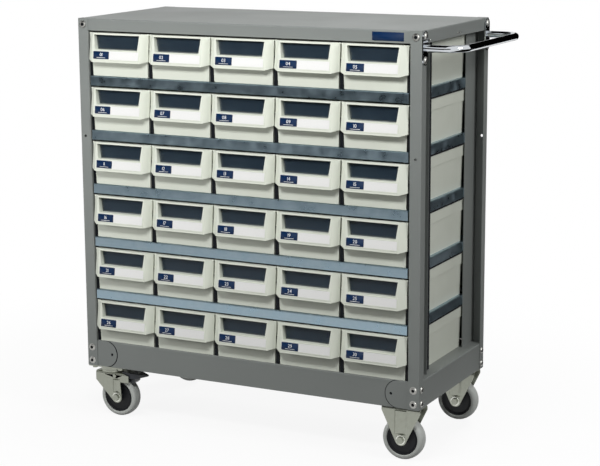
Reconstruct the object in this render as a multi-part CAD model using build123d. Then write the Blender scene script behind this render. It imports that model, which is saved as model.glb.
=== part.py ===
from build123d import *
import math
import os

# Folded steel sheet of the frame
SHEET = 1.5
BEND = 1.5  # inside radius of every fold
MID = SHEET / 2
OVERRUN = 5.0  # how far every cutting tool passes the face it cuts

# Drawer grid, which sets the frame's width and height
ROWS = 6
COLUMNS = 5
COLUMN_PITCH = 164.0
BAY_GAP = 2.0  # from the outermost pitch to the web of a post
OPENING_HEIGHT = 106.5  # from a shelf to the lower edge of the face above it
SHELF_FACE = 23.0
BASE_HEIGHT = 64.0
TOP_FLANGE = 28.0
FRAME_DEPTH = 400.0
WHEEL_DIAMETER = 100.0
HEAD_ROOM = 28.0  # from the top of a wheel to the underside of the frame
CASTER_HEIGHT = WHEEL_DIAMETER + HEAD_ROOM

# Corner posts
POST_FACE = 28.0
POST_LIP = 25.0
POST_WEB = 75.0
POST_RETURN = 15.0
POST_HOLE_DIAMETER = 6.6
POST_HOLE_INSET = 13.0  # from the outer side of the post
POST_HOLE_HEIGHT_SHARE = 0.67  # of the frame's height, above its lower edge

ROW_PITCH = OPENING_HEIGHT + SHELF_FACE
HALF_BAY = COLUMNS * COLUMN_PITCH / 2 + BAY_GAP
HALF_WIDTH = HALF_BAY + POST_FACE
FRAME_HEIGHT = BASE_HEIGHT + ROWS * OPENING_HEIGHT + (ROWS - 1) * SHELF_FACE + TOP_FLANGE
FRAME_BOTTOM = CASTER_HEIGHT
BASE_TOP = FRAME_BOTTOM + BASE_HEIGHT
FRAME_TOP = FRAME_BOTTOM + FRAME_HEIGHT
BAY_TOP = FRAME_TOP - TOP_FLANGE
INNER_HALF = HALF_WIDTH - SHEET  # inside face of the posts' lips
INNER_BACK = FRAME_DEPTH - SHEET  # inside face of the rear posts' faces

# Gusset plates between the front posts and the base
GUSSET_REACH = 83.0  # from the side of the frame
GUSSET_HOLE_DIAMETER = 6.6
GUSSET_HOLE_INSET = 13.4  # from the round end
BASE_FRONT = 2 * SHEET  # the base's front skirt, behind post face and gusset

# Shelves and back panel
SHELF_RELIEF = 3.0  # gap between a shelf's face and the post
SHELF_REAR_FLANGE = 12.0
SHELF_NOTCH = 6.0  # how far the side flanges stop short of the folds
PANEL_FLANGE = 12.0
BACK_FRONT = INNER_BACK - SHEET

# Channels in the base that take the casters
CHANNEL_WIDTH = 104.0
CHANNEL_SHEET = 2.5

# Drawers
WALL = 2.0
RUN_GAP = 0.3  # under a drawer, so that it slides
HEADROOM = 4.2  # over a drawer
SIDE_GAP = 2.0  # between the rims of two drawers
REAR_GAP = 66.0  # from the drawer's rear to the rear of the frame
FACE_SETBACK = 4.0  # drawer's front wall behind the front of the frame
RIM_HEIGHT = 3.0
RIM_PROUD = 1.0
BAND_HEIGHT = 27.0  # wider upper part of the drawer, rim included
BAND_STEP = 3.0
DRAFT = 2.0  # each side, over the drawer's lower part
DRAWER_HEIGHT = OPENING_HEIGHT - HEADROOM - RUN_GAP
DRAWER_REAR = FRAME_DEPTH - REAR_GAP
RIM_HALF = (COLUMN_PITCH - SIDE_GAP) / 2

# Hood on the drawer's front: finger pull, label and window
HOOD_REACH = 20.0  # in front of the drawer's wall, at the hood's lower edge
HOOD_LEAN = 9.0  # how far the panel leans back over the hood's height
HOOD_HEIGHT = 67.5
HOOD_BOTTOM = DRAWER_HEIGHT - HOOD_HEIGHT
HOOD_FACET = 15.5  # width of each slanted side
HOOD_FACET_DEPTH = 14.0
HOOD_CORNER_RISE = 4.0  # lower edge of the slanted sides
HOOD_TAPER = 1.5  # each side, over the hood's height
WINDOW_TOP_BAR = 4.0
WINDOW_HEIGHT = 34.5
WINDOW_SILL = DRAWER_HEIGHT - WINDOW_TOP_BAR - WINDOW_HEIGHT
WINDOW_HALF_TOP = 62.0
WINDOW_HALF_SILL = 58.0
WINDOW_REBATE = 2.0  # how far the wall behind stands in to seat the pane
PANE = 1.6
PANE_GAP = 0.2
LABEL_MARGIN = 7.0  # from the hood's lower edge
LABEL_INSET = 3.5  # from the panel's ends
LABEL_HEIGHT = 19.0
LABEL_THICKNESS = 0.4
LABEL_GAP = 0.2
LABEL_RIM = 1.8
LABEL_RIM_PROUD = 0.6

# Push handle
TUBE_DIAMETER = 16.0
TUBE_DROP = 38.0  # centre of the tube below the top
TUBE_BEND = 45.0
HANDLE_REACH = 92.0  # outside of the bar from the side of the frame
HANDLE_INSET = 14.0  # legs from the front and the rear
PLATE_WIDTH = 26.0
PLATE_LENGTH = 74.0
PLATE_THICKNESS = 2.5
PLATE_SCREW_PITCH = 52.0

# Button-head screws
HEAD_DIAMETER = 15.0
HEAD_HEIGHT = 3.0
SOCKET_DIAMETER = 8.0
SOCKET_DEPTH = 1.8
SCREW_INSET = 14.0  # from the outer side of the post
LOW_SCREW_HEIGHT = 13.0
SCREW_PITCH = 32.5

# Casters
WHEEL_WIDTH = 30.0
TYRE_DEPTH = 12.0
TREAD_SHOULDER = 6.0
HUB_DIAMETER = WHEEL_DIAMETER - 2 * TYRE_DEPTH
HUB_RECESS = 2.0  # hub's disc inside the tyre's side
BOSS_DIAMETER = 24.0
BOSS_GAP = 0.3  # between the hub's boss and a cheek
AXLE_DIAMETER = 10.0
AXLE_CLEARANCE = 0.05
NUT_DIAMETER = 17.0
NUT_HEIGHT = 7.0
BRACKET_SHEET = 2.5
BRACKET_BEND = 6.0
BRACKET_LENGTH = 95.0
CHEEK_GAP = 39.0  # between the cheeks
CHEEK_END = 14.0  # radius round the axle
CHEEK_SKIRT = 12.0  # straight part under the fold
RIB_WIDTH = 32.0
RIB_PROUD = 4.0
RIB_SLOPE = 5.0
RIB_TOP_GAP = 9.0  # below the top of the bracket
RIB_END_GAP = 12.0  # above the axle
CASTER_INSET = 35.0  # wheels' middle plane from the front and the rear
FIXED_INSET = 50.0  # axle from the side of the frame

# Swivel casters
SWIVEL_INSET = 49.0  # swivel axis from the side of the frame
TRAIL = 23.0
PLATE_X = 95.0
PLATE_Y = 66.0
MOUNT_PLATE = 3.0
BOLT_PITCH_X = 73.0
BOLT_PITCH_Y = 45.0
BOLT_DIAMETER = 12.0
BOLT_DROP = 5.0
RACE_DIAMETER = 55.0
RACE_GAP = 0.3
KINGPIN_DIAMETER = 12.0
KINGPIN_HEAD_DIAMETER = 20.0
KINGPIN_HEAD = 2.5
CROWN_DROP = 16.0  # crown's upper face below the frame
CROWN_LENGTH = 72.0
CROWN_FRONT = 35.0  # crown's outer end from the swivel axis
FORK_BEND = 3.0
FORK_SHOULDER = 21.0  # how far the cheek reaches past the crown
FORK_RIB_WIDTH = 20.0
SHOULDER_HEIGHT = 23.0
LEG_BACK = 11.0  # leg's inner edge from the axle
DISH_HEIGHT = 5.0

# Brake pedals
PEDAL_SHEET = 2.0
PEDAL_GAP = 1.3  # between a cheek and the pedal's arm
PIVOT_OFFSET = 19.0  # from the swivel axis
PIVOT_DROP = 24.5  # below the frame
PIVOT_DIAMETER = 5.0
PIVOT_HEAD_DIAMETER = 9.0
PIVOT_HEAD = 1.8
PIVOT_CLEARANCE = 0.05
EYE_DIAMETER = 8.0  # the arms' round end about the pivot
BLADE_START = 2.0  # behind the fork's crown
BLADE_RISE = 4.0  # above the crown
BLADE_LENGTH = 41.0  # flat top, as far as the nose
BLADE_FALL = 4.0  # over that length
NOSE_LENGTH = 22.0
NOSE_FALL = 2.0
NOSE_LIP = 3.0  # side flange left at the tip
NOSE_WIDTH = 6.0
NECK_WIDTH = 29.0  # where the nose begins
TAPER_START = 19.0  # straight flanges, as far as the taper
SHOE_WIDTH = 26.0
SHOE_THICKNESS = 8.0
SHOE_CLEARANCE = 0.3  # left when the brake is down
SHOE_FROM = 30.0  # degrees from the wheel's top
SHOE_TO = 46.0
PEDAL_ANGLE = 6.0  # degrees that the pedal tips down

CROWN_TOP = FRAME_BOTTOM - CROWN_DROP
AXLE_HEIGHT = WHEEL_DIAMETER / 2
CHEEK_OUT = CHEEK_GAP / 2 + BRACKET_SHEET  # outer face of a cheek from the middle
FIXED_X = HALF_WIDTH - FIXED_INSET
SWIVEL_X = SWIVEL_INSET - HALF_WIDTH
SWIVEL_WHEEL_X = SWIVEL_X + TRAIL
CASTER_ROWS = {"front": CASTER_INSET, "rear": FRAME_DEPTH - CASTER_INSET}
CROWN_END = SWIVEL_X - CROWN_FRONT + CROWN_LENGTH
SHOULDER_END = CROWN_END + FORK_SHOULDER
PIVOT = (SWIVEL_X + PIVOT_OFFSET, FRAME_BOTTOM - PIVOT_DROP)
HANDLE_END = HALF_WIDTH + HANDLE_REACH

# The finished model's origin: the middle of its outline, on the floor
MIDDLE_X = (HANDLE_END - HALF_WIDTH - HEAD_HEIGHT) / 2
HOOD_FRONT = FACE_SETBACK - HOOD_REACH
MIDDLE_Y = (FRAME_DEPTH + HEAD_HEIGHT + HOOD_FRONT) / 2


def folded(points, sheet=SHEET, bend=BEND):
    """Section of a folded sheet along the points of its middle line."""
    line = FilletPolyline(*points, radius=bend + sheet / 2)
    return trace(line, line_width=sheet)


def along_x(section, start, end):
    """A section drawn in Y and Z, from one X to another."""
    return extrude(Plane.YZ.offset(start) * section, amount=end - start)


def along_y(section, start, end):
    """A section drawn in X and Z, from one Y to another."""
    return extrude(Plane.XZ.offset(-start) * section, amount=start - end)


def along_z(section, start, end):
    """A section drawn in X and Y, from one Z to another."""
    return extrude(Plane.XY.offset(start) * section, amount=end - start)


def block(low, high):
    """A box between two corners."""
    size = [b - a for a, b in zip(low, high)]
    middle = [(a + b) / 2 for a, b in zip(low, high)]
    return Pos(*middle) * Box(*size)


def channel_section(start, end, bottom, top, sheet=SHEET, bend=BEND):
    """A channel open below, between its outer faces."""
    half = sheet / 2
    line = [
        (start + half, bottom),
        (start + half, top - half),
        (end - half, top - half),
        (end - half, bottom),
    ]
    return folded(line, sheet, bend)


def pan(low, high):
    """A folded pan, open below, of two crossing strips whose flanges stop short of the corners."""
    left, front, bottom = low
    right, back, top = high
    long_strip = channel_section(front, back, bottom, top)
    cross_strip = channel_section(left, right, bottom, top)
    relief = BEND + SHEET
    pan_body = along_x(long_strip, left + BEND, right - BEND)
    return pan_body + along_y(cross_strip, front + relief, back - relief)


def to_left(shape):
    return mirror(shape, about=Plane.YZ)


def front_post():
    """The right front post; its full channel runs only between the base and the cover."""
    face_y = MID
    lip_x = HALF_WIDTH - MID
    web_x = HALF_BAY + MID
    return_y = POST_WEB - MID
    angle = folded([(lip_x, POST_LIP), (lip_x, face_y), (HALF_BAY, face_y)])
    channel = folded(
        [
            (lip_x, POST_LIP),
            (lip_x, face_y),
            (web_x, face_y),
            (web_x, return_y),
            (HALF_BAY + POST_RETURN, return_y),
        ]
    )
    return drilled_post(angle, channel, face_y)


def rear_post():
    """The right rear post, with a plain web."""
    face_y = FRAME_DEPTH - MID
    lip_x = HALF_WIDTH - MID
    web_x = HALF_BAY + MID
    lip_end = FRAME_DEPTH - POST_LIP
    angle = folded([(lip_x, lip_end), (lip_x, face_y), (HALF_BAY, face_y)])
    channel = folded(
        [(lip_x, lip_end), (lip_x, face_y), (web_x, face_y), (web_x, FRAME_DEPTH - POST_WEB)]
    )
    return drilled_post(angle, channel, face_y)


def drilled_post(angle, channel, face_y):
    """Angle ends, a channel between them, and the accessory hole through the face."""
    post = along_z(angle, FRAME_BOTTOM, BASE_TOP)
    post += along_z(channel, BASE_TOP, BAY_TOP)
    post += along_z(angle, BAY_TOP, FRAME_TOP)
    hole = Plane.XZ * Cylinder(POST_HOLE_DIAMETER / 2, 2 * OVERRUN)
    height = FRAME_BOTTOM + POST_HOLE_HEIGHT_SHARE * FRAME_HEIGHT
    return post - Pos(HALF_WIDTH - POST_HOLE_INSET, face_y, height) * hole


def top_cover():
    return pan((-INNER_HALF, SHEET, BAY_TOP), (INNER_HALF, INNER_BACK, FRAME_TOP))


def base_tray():
    """The pan under the drawers, with a caster channel inside at each side."""
    tray = pan((-INNER_HALF, BASE_FRONT, FRAME_BOTTOM), (INNER_HALF, INNER_BACK, BASE_TOP))
    half = CHANNEL_SHEET / 2
    outer = INNER_HALF - SHEET - half
    inner = outer + CHANNEL_SHEET - CHANNEL_WIDTH
    top = BASE_TOP - SHEET
    low = FRAME_BOTTOM + half
    upright = top - BEND
    section = folded(
        [(inner, top), (inner, low), (outer, low), (outer, upright)], CHANNEL_SHEET
    )
    channel = along_y(section, BASE_FRONT + SHEET, INNER_BACK - SHEET)
    return [tray, channel, to_left(channel)]


def corner_gussets():
    """Two plates with a round inner end, between the post's face and the base."""
    radius = BASE_HEIGHT / 2
    middle_z = FRAME_BOTTOM + radius
    end_x = HALF_WIDTH - GUSSET_REACH + radius
    edge_x = INNER_HALF - BEND
    bar = Pos((end_x + edge_x) / 2, middle_z) * Rectangle(edge_x - end_x, BASE_HEIGHT)
    hole_x = HALF_WIDTH - GUSSET_REACH + GUSSET_HOLE_INSET
    outline = bar + Pos(end_x, middle_z) * Circle(radius)
    outline -= Pos(hole_x, middle_z) * Circle(GUSSET_HOLE_DIAMETER / 2)
    plate = along_y(outline, SHEET, BASE_FRONT)
    return [plate, to_left(plate)]


def shelf(top):
    """A folded pan with a deep front face, side flanges inside the posts and a short rear flange."""
    front = SHEET + MID
    rear = BACK_FRONT - MID
    face_low = top - SHELF_FACE
    section = folded(
        [
            (front, face_low),
            (front, top - MID),
            (rear, top - MID),
            (rear, top - SHELF_REAR_FLANGE),
        ]
    )
    face_half = HALF_BAY - SHELF_RELIEF
    body = along_x(section, -face_half, face_half)
    side = HALF_BAY - MID
    flange = folded([(face_half - OVERRUN, top - MID), (side, top - MID), (side, face_low)])
    flange_start = SHEET + SHELF_NOTCH
    flange_end = BACK_FRONT - PANEL_FLANGE - SHELF_NOTCH
    flange = along_y(flange, flange_start, flange_end)
    return body + flange + to_left(flange)


def back_panel():
    """The sheet between the rear posts, folded forward at both sides."""
    side = HALF_BAY - MID
    middle = INNER_BACK - MID
    ends = INNER_BACK - PANEL_FLANGE
    section = folded([(-side, ends), (-side, middle), (side, middle), (side, ends)])
    return along_z(section, BASE_TOP, BAY_TOP)


def hood_block(inset):
    """The hood's outer form, or the form of its inside when inset by the wall."""
    panel_half = RIM_HALF - HOOD_FACET - inset * math.tan(math.atan2(HOOD_FACET_DEPTH, HOOD_FACET) / 2)
    side_half = RIM_HALF - inset
    front = HOOD_FRONT + inset
    facet_end = front + HOOD_FACET_DEPTH
    back = FACE_SETBACK + HOOD_REACH
    plan = Polyline(
        (-side_half, back),
        (-side_half, facet_end),
        (-panel_half, front),
        (panel_half, front),
        (side_half, facet_end),
        (side_half, back),
        close=True,
    )
    lean = Vector(0, HOOD_LEAN, HOOD_HEIGHT)
    leaning = extrude(Pos(0, 0, HOOD_BOTTOM) * make_face(plan), amount=lean.length, dir=lean)
    corner = HOOD_BOTTOM + HOOD_CORNER_RISE + inset
    outline = Polyline(
        (-panel_half, HOOD_BOTTOM),
        (panel_half, HOOD_BOTTOM),
        (side_half, corner),
        (side_half - HOOD_TAPER, DRAWER_HEIGHT),
        (HOOD_TAPER - side_half, DRAWER_HEIGHT),
        (-side_half, corner),
        close=True,
    )
    return leaning & along_y(make_face(outline), HOOD_FRONT - OVERRUN, FACE_SETBACK)


def body_block(inset, floor):
    """The drawer's outer form without rim, or the form of its inside when inset by the wall."""
    front = FACE_SETBACK + inset
    rear = DRAWER_REAR - inset
    band_half = RIM_HALF - RIM_PROUD - inset
    wall_half = band_half - BAND_STEP
    step = DRAWER_HEIGHT - BAND_HEIGHT + inset
    middle = (front + rear) / 2
    foot = Pos(0, middle, floor) * Rectangle(2 * (wall_half - DRAFT), rear - front - 2 * DRAFT)
    shoulder = Pos(0, middle, step) * Rectangle(2 * wall_half, rear - front)
    lower = loft([foot, shoulder], ruled=True)
    return lower + block((-band_half, front, step), (band_half, rear, DRAWER_HEIGHT))


def window_section(inset):
    """The window's outline in the hood, wider at the top than at the sill."""
    top = DRAWER_HEIGHT - WINDOW_TOP_BAR - inset
    sill = WINDOW_SILL + inset
    outline = Polyline(
        (inset - WINDOW_HALF_SILL, sill),
        (WINDOW_HALF_SILL - inset, sill),
        (WINDOW_HALF_TOP - inset, top),
        (inset - WINDOW_HALF_TOP, top),
        close=True,
    )
    return make_face(outline)


def drawer():
    """One moulded bin with its window pane and label card, its underside at the origin's height."""
    rim_low = (-RIM_HALF, FACE_SETBACK, DRAWER_HEIGHT - RIM_HEIGHT)
    rim_high = (RIM_HALF, DRAWER_REAR + RIM_PROUD, DRAWER_HEIGHT)
    bin_body = body_block(0, 0) + block(rim_low, rim_high)
    bin_body += hood_block(0)
    bin_body -= body_block(WALL, WALL)
    bin_body -= hood_block(WALL) & block(
        (-RIM_HALF, HOOD_FRONT - OVERRUN, 0), (RIM_HALF, FACE_SETBACK, WINDOW_SILL - WALL)
    )
    bin_body -= along_y(window_section(0), HOOD_FRONT - OVERRUN, FACE_SETBACK)
    bin_body -= along_y(window_section(WINDOW_REBATE), 0, FACE_SETBACK + WALL + OVERRUN)
    bin_body += label_slab(LABEL_GAP + LABEL_RIM, LABEL_RIM_PROUD)
    bin_body -= label_slab(LABEL_GAP, LABEL_RIM_PROUD)
    pane = along_y(window_section(PANE_GAP), FACE_SETBACK - PANE, FACE_SETBACK)
    card = label_slab(0, LABEL_THICKNESS)
    return [bin_body, pane, card]


def label_slab(margin, thickness):
    """A slab lying on the leaning panel under the window, larger than the label by a margin."""
    lean = Vector(0, HOOD_LEAN, HOOD_HEIGHT)
    low = LABEL_MARGIN - margin
    front = HOOD_FRONT + HOOD_LEAN * low / HOOD_HEIGHT
    half = RIM_HALF - HOOD_FACET - LABEL_INSET + margin
    plan = Pos(0, front - thickness / 2, HOOD_BOTTOM + low) * Rectangle(2 * half, thickness)
    return extrude(plan, amount=lean.length * (LABEL_HEIGHT + 2 * margin) / HOOD_HEIGHT, dir=lean)


def push_handle():
    """A bent tube between two round-ended plates on the right posts."""
    plate_face = HALF_WIDTH + PLATE_THICKNESS
    bar_x = HANDLE_END - TUBE_DIAMETER / 2
    height = FRAME_TOP - TUBE_DROP
    front = HANDLE_INSET
    rear = FRAME_DEPTH - HANDLE_INSET
    path = FilletPolyline(
        (plate_face, front, height),
        (bar_x, front, height),
        (bar_x, rear, height),
        (plate_face, rear, height),
        radius=TUBE_BEND,
    )
    start = Plane(origin=(plate_face, front, height), z_dir=(1, 0, 0))
    tube = sweep(start * Circle(TUBE_DIAMETER / 2), path)
    outline = SlotOverall(PLATE_LENGTH, PLATE_WIDTH, rotation=90)
    plates = [
        along_x(Pos(y, height) * outline, HALF_WIDTH, plate_face) for y in (front, rear)
    ]
    return [tube, *plates]


def screw_head():
    """A button head with a hexagon socket, seated on the origin and facing +Z."""
    head = Cylinder(HEAD_DIAMETER / 2, HEAD_HEIGHT, align=(Align.CENTER, Align.CENTER, Align.MIN))
    socket = extrude(RegularPolygon(SOCKET_DIAMETER / 2, 6), amount=SOCKET_DEPTH)
    return head - Pos(0, 0, HEAD_HEIGHT - SOCKET_DEPTH) * socket


def screws():
    """Heads on the posts' faces and lips, and on the handle's plates."""
    head = screw_head()
    low = FRAME_BOTTOM + LOW_SCREW_HEIGHT
    high = FRAME_TOP - TOP_FLANGE / 2
    heads = []
    for z in (low, low + SCREW_PITCH, high):
        for x in (SCREW_INSET - HALF_WIDTH, HALF_WIDTH - SCREW_INSET):
            heads.append(Plane(origin=(x, 0, z), z_dir=(0, -1, 0)) * head)
            heads.append(Plane(origin=(x, FRAME_DEPTH, z), z_dir=(0, 1, 0)) * head)
    for y in (SCREW_INSET, FRAME_DEPTH - SCREW_INSET):
        for z in (low, low + SCREW_PITCH, high):
            heads.append(Plane(origin=(-HALF_WIDTH, y, z), z_dir=(-1, 0, 0)) * head)
        for z in (low, low + SCREW_PITCH):
            heads.append(Plane(origin=(HALF_WIDTH, y, z), z_dir=(1, 0, 0)) * head)
        for side in (-1, 1):
            z = FRAME_TOP - TUBE_DROP + side * PLATE_SCREW_PITCH / 2
            heads.append(Plane(origin=(HALF_WIDTH + PLATE_THICKNESS, y, z), z_dir=(1, 0, 0)) * head)
    return heads


def turned(profile, x, y):
    """A profile of radius and width turned about the wheel's axis."""
    ring = revolve(Plane.XY * profile, axis=Axis.Y)
    return Pos(x, y, AXLE_HEIGHT) * ring


def hub(x, y):
    """A moulded hub: a boss and a solid disc in one revolve."""
    bore = AXLE_DIAMETER / 2 + AXLE_CLEARANCE
    boss = BOSS_DIAMETER / 2
    boss_half = CHEEK_GAP / 2 - BOSS_GAP
    rim = HUB_DIAMETER / 2
    rim_half = WHEEL_WIDTH / 2 - HUB_RECESS
    outline = Polyline(
        (bore, -boss_half),
        (boss, -boss_half),
        (boss, -rim_half),
        (rim, -rim_half),
        (rim, rim_half),
        (boss, rim_half),
        (boss, boss_half),
        (bore, boss_half),
        close=True,
    )
    return turned(make_face(outline), x, y)


def tyre(x, y):
    """A solid tyre with sloping shoulders."""
    rim = HUB_DIAMETER / 2
    half = WHEEL_WIDTH / 2
    tread = WHEEL_DIAMETER / 2
    bulge = tread - TREAD_SHOULDER
    flat = half - TREAD_SHOULDER
    outline = Polyline(
        (rim, -half),
        (bulge, -half),
        (tread, -flat),
        (tread, flat),
        (bulge, half),
        (rim, half),
        close=True,
    )
    return turned(make_face(outline), x, y)


def axle(x, y):
    """The axle bolt with a hexagon head in front of the cheek, and its nut behind."""
    length = 2 * (CHEEK_OUT + NUT_HEIGHT)
    shaft = Plane.XZ * Cylinder(AXLE_DIAMETER / 2, length)
    hexagon = Pos(x, AXLE_HEIGHT) * RegularPolygon(NUT_DIAMETER / 2, 6)
    head = along_y(hexagon, y - CHEEK_OUT - NUT_HEIGHT, y - CHEEK_OUT)
    bolt = Pos(x, y, AXLE_HEIGHT) * shaft + head
    ring = hexagon - Pos(x, AXLE_HEIGHT) * Circle(AXLE_DIAMETER / 2)
    nut = along_y(ring, y + CHEEK_OUT, y + CHEEK_OUT + NUT_HEIGHT)
    return [bolt, nut]


def axle_bore(x, y):
    """The cut for the axle through both cheeks."""
    return Pos(x, y, AXLE_HEIGHT) * (Plane.XZ * Cylinder(AXLE_DIAMETER / 2, 2 * CHEEK_OUT + OVERRUN))


def cheek_rib(x, y, side, width, top):
    """A rib pressed out of a cheek above the axle, with sloping flanks and foot."""
    inner = y + side * CHEEK_OUT
    half = width / 2
    bottom = AXLE_HEIGHT + RIB_END_GAP
    height = top - bottom
    wide = Rectangle(width, height)
    narrow = Rectangle(width - 2 * RIB_SLOPE, height - RIB_SLOPE)
    middle = bottom + height / 2
    root = Plane(origin=(x, inner, middle), x_dir=(side, 0, 0), z_dir=(0, side, 0))
    crest = root.offset(RIB_PROUD) * Pos(0, -RIB_SLOPE / 2)
    return loft([root * wide, crest * narrow], ruled=True)


def u_bracket(start, end, y, top, bend):
    """Two cheeks and the plate between them, folded from one strip."""
    low = AXLE_HEIGHT - CHEEK_END
    section = channel_section(y - CHEEK_OUT, y + CHEEK_OUT, low, top, BRACKET_SHEET, bend)
    return along_x(section, start, end)


def fixed_bracket(y):
    """A rigid caster's bracket: V-shaped cheeks with a rib, bolted flat under the frame."""
    start = FIXED_X - BRACKET_LENGTH / 2
    end = FIXED_X + BRACKET_LENGTH / 2
    strip = u_bracket(start, end, y, FRAME_BOTTOM, BRACKET_BEND)
    skirt_low = FRAME_BOTTOM - CHEEK_SKIRT
    edge = Line((start, skirt_low), (end, skirt_low))
    round_end = CenterArc((FIXED_X, AXLE_HEIGHT), CHEEK_END, 0, 360)
    outline = make_hull([edge.edge(), round_end.edge()])
    outline += Pos(FIXED_X, (skirt_low + FRAME_BOTTOM) / 2) * Rectangle(BRACKET_LENGTH, CHEEK_SKIRT)
    bracket = strip & along_y(outline, y - CHEEK_OUT, y + CHEEK_OUT)
    for side in (-1, 1):
        bracket += cheek_rib(FIXED_X, y, side, RIB_WIDTH, FRAME_BOTTOM - RIB_TOP_GAP)
    return [bracket - axle_bore(FIXED_X, y), *axle(FIXED_X, y)]


def swivel_plate(y):
    """A swivel caster's mounting plate, upper race, kingpin and bolt ends."""
    top = FRAME_BOTTOM
    under = top - MOUNT_PLATE
    centre = Pos(SWIVEL_X, y)
    plate = along_z(centre * Rectangle(PLATE_X, PLATE_Y), under, top)
    race_low = CROWN_TOP + DISH_HEIGHT + RACE_GAP
    pin_low = CROWN_TOP - BRACKET_SHEET - RACE_GAP - KINGPIN_HEAD
    plate += along_z(centre * Circle(RACE_DIAMETER / 2), race_low, under)
    plate += along_z(centre * Circle(KINGPIN_DIAMETER / 2), pin_low, race_low)
    plate += along_z(centre * Circle(KINGPIN_HEAD_DIAMETER / 2), pin_low, pin_low + KINGPIN_HEAD)
    for x_side in (-1, 1):
        for y_side in (-1, 1):
            spot = Pos(SWIVEL_X + x_side * BOLT_PITCH_X / 2, y + y_side * BOLT_PITCH_Y / 2)
            plate += along_z(spot * Circle(BOLT_DIAMETER / 2), under - BOLT_DROP, under)
    return plate


def fork(y):
    """A swivel fork: crown and cheeks folded from one strip, with a lower race on top."""
    start = SWIVEL_X - CROWN_FRONT
    strip = u_bracket(start, SHOULDER_END, y, CROWN_TOP, FORK_BEND)
    leg_x = SWIVEL_WHEEL_X + LEG_BACK
    shoulder_low = CROWN_TOP - SHOULDER_HEIGHT
    round_end = CenterArc((SWIVEL_WHEEL_X, AXLE_HEIGHT), CHEEK_END, 0, 360)
    edge = Line((start, shoulder_low), (leg_x, shoulder_low))
    leg = make_hull([edge.edge(), round_end.edge()])
    top_bar = Polyline(
        (start, CROWN_TOP),
        (start, shoulder_low),
        (SHOULDER_END, shoulder_low),
        (SHOULDER_END, CROWN_TOP - BRACKET_SHEET - FORK_BEND),
        (CROWN_END, CROWN_TOP),
        close=True,
    )
    outline = leg + make_face(top_bar)
    body = strip & along_y(outline, y - CHEEK_OUT, y + CHEEK_OUT)
    inner = CHEEK_GAP / 2
    window = block(
        (CROWN_END, y - inner, shoulder_low), (SHOULDER_END + OVERRUN, y + inner, CROWN_TOP + OVERRUN)
    )
    body -= window
    centre = Pos(SWIVEL_X, y)
    pin_bore = KINGPIN_DIAMETER / 2 + AXLE_CLEARANCE
    body += along_z(centre * Circle(RACE_DIAMETER / 2), CROWN_TOP, CROWN_TOP + DISH_HEIGHT)
    body -= along_z(centre * Circle(pin_bore), CROWN_TOP - OVERRUN, CROWN_TOP + DISH_HEIGHT + OVERRUN)
    for side in (-1, 1):
        body += cheek_rib(SWIVEL_WHEEL_X, y, side, FORK_RIB_WIDTH, PIVOT[1] - PIVOT_HEAD_DIAMETER)
    body -= axle_bore(SWIVEL_WHEEL_X, y)
    body -= along_y(Pos(*PIVOT) * Circle(PIVOT_DIAMETER / 2), y - CHEEK_OUT, y + CHEEK_OUT)
    return [body, pivot_pin(y), *axle(SWIVEL_WHEEL_X, y)]


def pivot_pin(y):
    """The pin through both cheeks, headed outside, on which the pedal's arms turn."""
    spot = Pos(*PIVOT)
    reach = CHEEK_OUT + PIVOT_HEAD
    pin = along_y(spot * Circle(PIVOT_DIAMETER / 2), y - CHEEK_OUT, y + CHEEK_OUT)
    pin += along_y(spot * Circle(PIVOT_HEAD_DIAMETER / 2), y - reach, y - CHEEK_OUT)
    pin += along_y(spot * Circle(PIVOT_HEAD_DIAMETER / 2), y + CHEEK_OUT, y + reach)
    return pin


def pedal_profile():
    """The pedal from the side: an eye on the pivot, the arm, the blade and the nose."""
    eye = EYE_DIAMETER / 2
    start = CROWN_END + BLADE_START
    top = CROWN_TOP + BLADE_RISE
    neck = start + BLADE_LENGTH
    tip = neck + NOSE_LENGTH
    outline = Polyline(
        (PIVOT[0], PIVOT[1] + eye),
        (start, PIVOT[1] + eye),
        (start, top),
        (neck, top - BLADE_FALL),
        (tip, top - BLADE_FALL - NOSE_FALL),
        (tip, top - BLADE_FALL - NOSE_FALL - NOSE_LIP),
        (neck, PIVOT[1] - eye / 2),
        (start + TAPER_START, PIVOT[1] - eye),
        (PIVOT[0], PIVOT[1] - eye),
        close=True,
    )
    return make_face(outline) + Pos(*PIVOT) * Circle(eye)


def pedal_plan(y, inset):
    """The pedal from above, or the room between its flanges when inset by the sheet."""
    tail = PIVOT[0] - EYE_DIAMETER
    start = CROWN_END + BLADE_START
    taper = start + TAPER_START
    neck = start + BLADE_LENGTH
    tip = neck + NOSE_LENGTH
    half = CHEEK_GAP / 2 - PEDAL_GAP
    outline = Polyline(
        (tail, y - half),
        (taper, y - half),
        (neck, y - NECK_WIDTH / 2),
        (tip, y - NOSE_WIDTH / 2),
        (tip, y + NOSE_WIDTH / 2),
        (neck, y + NECK_WIDTH / 2),
        (taper, y + half),
        (tail, y + half),
        close=True,
    )
    plan = make_face(outline)
    if inset:
        plan = offset(plan, -inset) + Pos(tail, y) * Rectangle(2 * EYE_DIAMETER, 2 * (half - inset))
    return plan


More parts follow.
